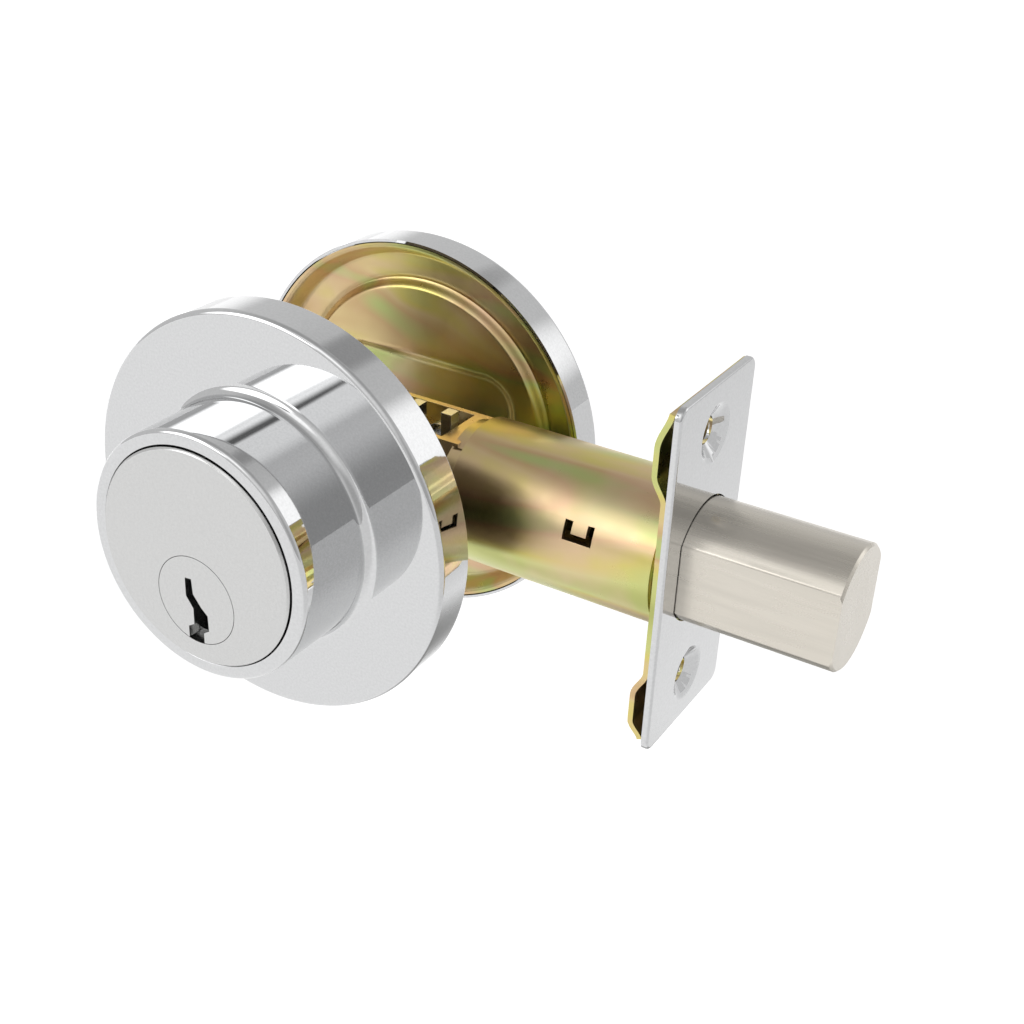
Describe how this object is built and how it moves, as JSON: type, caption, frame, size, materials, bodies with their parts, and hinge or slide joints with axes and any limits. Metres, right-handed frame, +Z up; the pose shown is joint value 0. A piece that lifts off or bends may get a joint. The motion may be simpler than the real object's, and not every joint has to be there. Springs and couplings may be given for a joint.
{
  "type": "deadbolt door lock",
  "caption": "Single-cylinder tubular deadbolt: round roses, a keyed cylinder in a raised collar, a crank-driven flat-sided bolt in a tube, and a faceplate.",
  "frame": {"origin": "where the cross bore's axis meets the bolt's centre line", "axes": "+X the way the bolt is thrown, towards the door edge; -Y the outside, with the keyway; +Y the room side, with the thumbturn; +Z up"},
  "size_m": [0.1175, 0.0777, 0.0656],
  "materials": {
    "chrome": "polished chrome plating",
    "satin_chrome": "satin chrome plating on the cylinder and plug",
    "yellow_zinc": "yellow dichromate zinc plating with pink and green bloom",
    "bolt_nickel": "satin nickel plating",
    "bright_steel": "bright zinc-plated steel",
    "dark_steel": "hardened steel, unplated",
    "brass": "plain turned brass",
    "sleeve_zinc": "pinkish dichromate zinc plating"
  },
  "bodies": {
    "lock": {"outside_rose": "chrome", "cylinder_body": "satin_chrome", "driver_pins": "bright_steel", "pin_springs": "bright_steel", "chamber_plugs": "brass", "outside_plate": "yellow_zinc", "screw_posts": "bright_steel", "mounting_screws": "bright_steel", "case_tube": "yellow_zinc", "guide_sleeve": "sleeve_zinc", "mechanism_case": "yellow_zinc", "backplate": "yellow_zinc", "faceplate": "chrome", "inside_plate": "yellow_zinc", "inside_rose": "chrome"},
    "knob": {"thumbturn": "chrome", "thumbturn_clip": "dark_steel"},
    "plug": {"cylinder_plug": "satin_chrome", "key_pins": "brass", "plug_retainer": "bright_steel", "tailpiece": "bright_steel"},
    "crank": {"crank_hub": "bright_steel", "crank_pin": "bright_steel"},
    "deadbolt": {"bolt": "bolt_nickel", "bolt_core_pin": "dark_steel", "bolt_tail": "bright_steel", "tail_rivet": "dark_steel"}
  },
  "joints": [
    {"name": "thumbturn_turn", "type": "hinge", "parent": "lock", "child": "knob", "pos_m": [0, 0, -0.0069], "axis": [0, -1, 0], "range_deg": [0, 90]},
    {"name": "plug_turn", "type": "hinge", "parent": "lock", "child": "plug", "pos_m": [0, 0, -0.0069], "axis": [0, -1, 0], "range_deg": [0, 90]},
    {"name": "crank_turn", "type": "hinge", "parent": "lock", "child": "crank", "pos_m": [0, 0, -0.0069], "axis": [0, -1, 0], "range_deg": [0, 90]},
    {"name": "bolt_slide", "type": "slide", "parent": "lock", "child": "deadbolt", "axis": [1, 0, 0], "range_m": [-0.0244, 0]}
  ],
  "couplings": [
    {"joint": "thumbturn_turn", "follows": "bolt_slide", "rad_per_m": -64.37},
    {"joint": "plug_turn", "follows": "bolt_slide", "rad_per_m": -64.37},
    {"joint": "crank_turn", "follows": "bolt_slide", "rad_per_m": -64.37}
  ]
}
